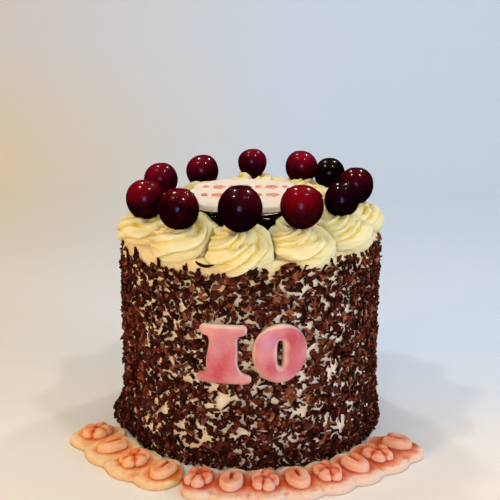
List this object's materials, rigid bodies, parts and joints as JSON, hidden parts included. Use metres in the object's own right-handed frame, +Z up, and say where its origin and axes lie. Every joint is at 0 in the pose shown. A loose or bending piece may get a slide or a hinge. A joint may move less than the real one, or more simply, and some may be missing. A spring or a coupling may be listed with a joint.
{
  "type": "black forest cake",
  "caption": "Tall round cake coated in chocolate shavings, with cream swirls and cherries on top, a fondant number on its side and scalloped fondant plaques at its foot.",
  "frame": {"origin": "middle of the cake's flat underside", "axes": "+Z up, -Y towards the side with the number, +X to the right of the number"},
  "size_m": [0.2241, 0.2117, 0.1704],
  "materials": {
    "shaved_chocolate": "shaved dark and milk chocolate pressed into whipped cream",
    "whipped_cream": "piped whipped cream, satin, soft ridges",
    "cherry_skin": "fresh dark cherry skin, glossy",
    "cherry_filling": "set dark cherry and chocolate filling, wet gloss",
    "white_fondant": "rolled white fondant, smooth",
    "pink_fondant": "pink fondant with a pearl dust sheen",
    "peach_fondant": "rolled cream-white fondant dusted peach",
    "coral_fondant": "modelled fondant dusted coral"
  },
  "bodies": {
    "root": {"cake": "shaved_chocolate", "cherry_01": "cherry_skin", "cherry_02": "cherry_skin", "cherry_03": "cherry_skin", "cherry_04": "cherry_skin", "cherry_05": "cherry_skin", "cherry_06": "cherry_skin", "cherry_07": "cherry_skin", "cherry_08": "cherry_skin", "cherry_09": "cherry_skin", "cherry_10": "cherry_skin", "cherry_11": "cherry_skin", "dark_filling": "cherry_filling", "numeral_0": "pink_fondant", "numeral_1": "pink_fondant", "ornament_01": "coral_fondant", "ornament_02": "coral_fondant", "ornament_03": "coral_fondant", "ornament_04": "coral_fondant", "ornament_05": "coral_fondant", "ornament_06": "coral_fondant", "ornament_07": "coral_fondant", "ornament_08": "coral_fondant", "ornament_09": "coral_fondant", "ornament_10": "coral_fondant", "ornament_11": "coral_fondant", "ornament_12": "coral_fondant", "plaque_left": "peach_fondant", "plaque_right": "peach_fondant", "swirl_01": "whipped_cream", "swirl_02": "whipped_cream", "swirl_03": "whipped_cream", "swirl_04": "whipped_cream", "swirl_05": "whipped_cream", "swirl_06": "whipped_cream", "swirl_07": "whipped_cream", "swirl_08": "whipped_cream", "swirl_09": "whipped_cream", "swirl_10": "whipped_cream", "swirl_11": "whipped_cream", "top_plaque": "white_fondant"}
  },
  "joints": []
}
